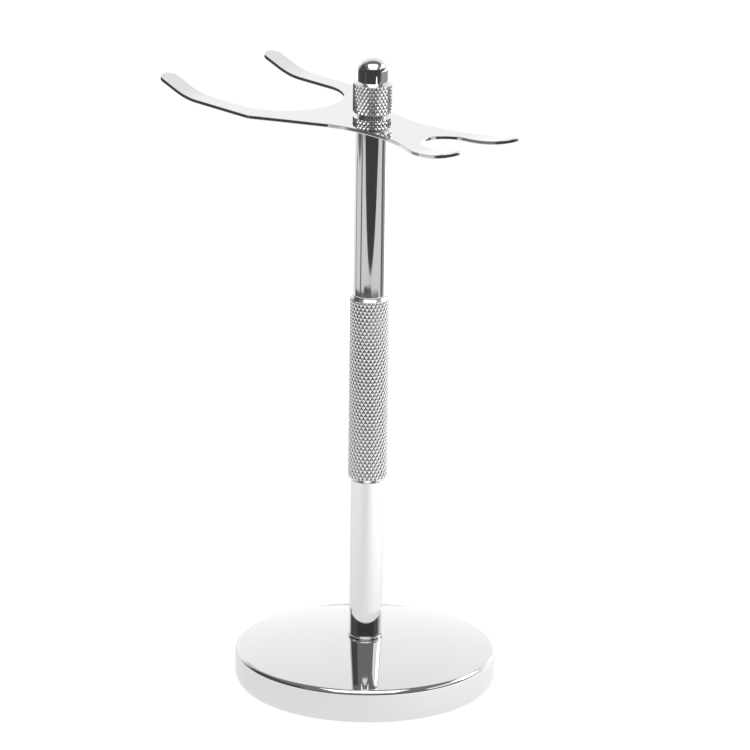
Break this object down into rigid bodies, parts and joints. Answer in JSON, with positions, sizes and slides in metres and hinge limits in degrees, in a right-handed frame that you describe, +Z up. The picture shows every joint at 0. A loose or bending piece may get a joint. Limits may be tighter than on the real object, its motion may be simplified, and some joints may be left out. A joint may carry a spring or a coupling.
{
  "type": "shaving brush and razor stand",
  "caption": "Chrome stand with a weighted domed base, a knurled grip post and a swivelling forked plate that holds a shaving brush and a razor, clamped by a knurled nut.",
  "frame": {"origin": "centre of the base pad's flat underside, on the post's axis", "axes": "+Z up the post, -X out along the brush fork, +X out along the razor fork, +Y by the right-hand rule"},
  "size_m": [0.1004, 0.0666, 0.165],
  "materials": {
    "polished_chrome": "mirror-polished plating",
    "plain_steel": "plain zinc-plated",
    "cast_weight": "rough cast",
    "soft_pad": "matt",
    "friction_washer": "matt"
  },
  "bodies": {
    "stand": {"base_pad": "soft_pad", "base_weight": "cast_weight", "base_shell": "polished_chrome", "base_flat_washer": "plain_steel", "base_lock_washer": "plain_steel", "base_screw": "plain_steel", "foot_ring": "polished_chrome", "lower_tube": "polished_chrome", "lower_tube_foot_plug": "plain_steel", "lower_tube_head_plug": "plain_steel", "grip_stud_lower": "plain_steel", "grip_sleeve": "polished_chrome", "grip_stud_upper": "plain_steel", "upper_tube": "polished_chrome", "upper_tube_foot_plug": "plain_steel", "upper_tube_head_plug": "plain_steel", "top_stud": "plain_steel", "holder_washer": "friction_washer"},
    "holder": {"holder_plate": "polished_chrome"},
    "clamp_ring": {"clamp_ring": "polished_chrome"},
    "top_nut": {"top_nut": "polished_chrome"}
  },
  "joints": [
    {"name": "holder_swivel", "type": "hinge", "parent": "stand", "child": "holder", "pos_m": [0, 0, 0.14875], "axis": [0, 0, 1], "continuous": true},
    {"name": "nut_rise", "type": "slide", "parent": "stand", "child": "clamp_ring", "axis": [0, 0, 1], "range_m": [0, 0.0084]},
    {"name": "nut_turn", "type": "hinge", "parent": "clamp_ring", "child": "top_nut", "pos_m": [0, 0, 0.155], "axis": [0, 0, 1], "range_deg": [0, 4321]}
  ],
  "couplings": [
    {"joint": "nut_turn", "follows": "nut_rise", "rad_per_m": 8976}
  ]
}
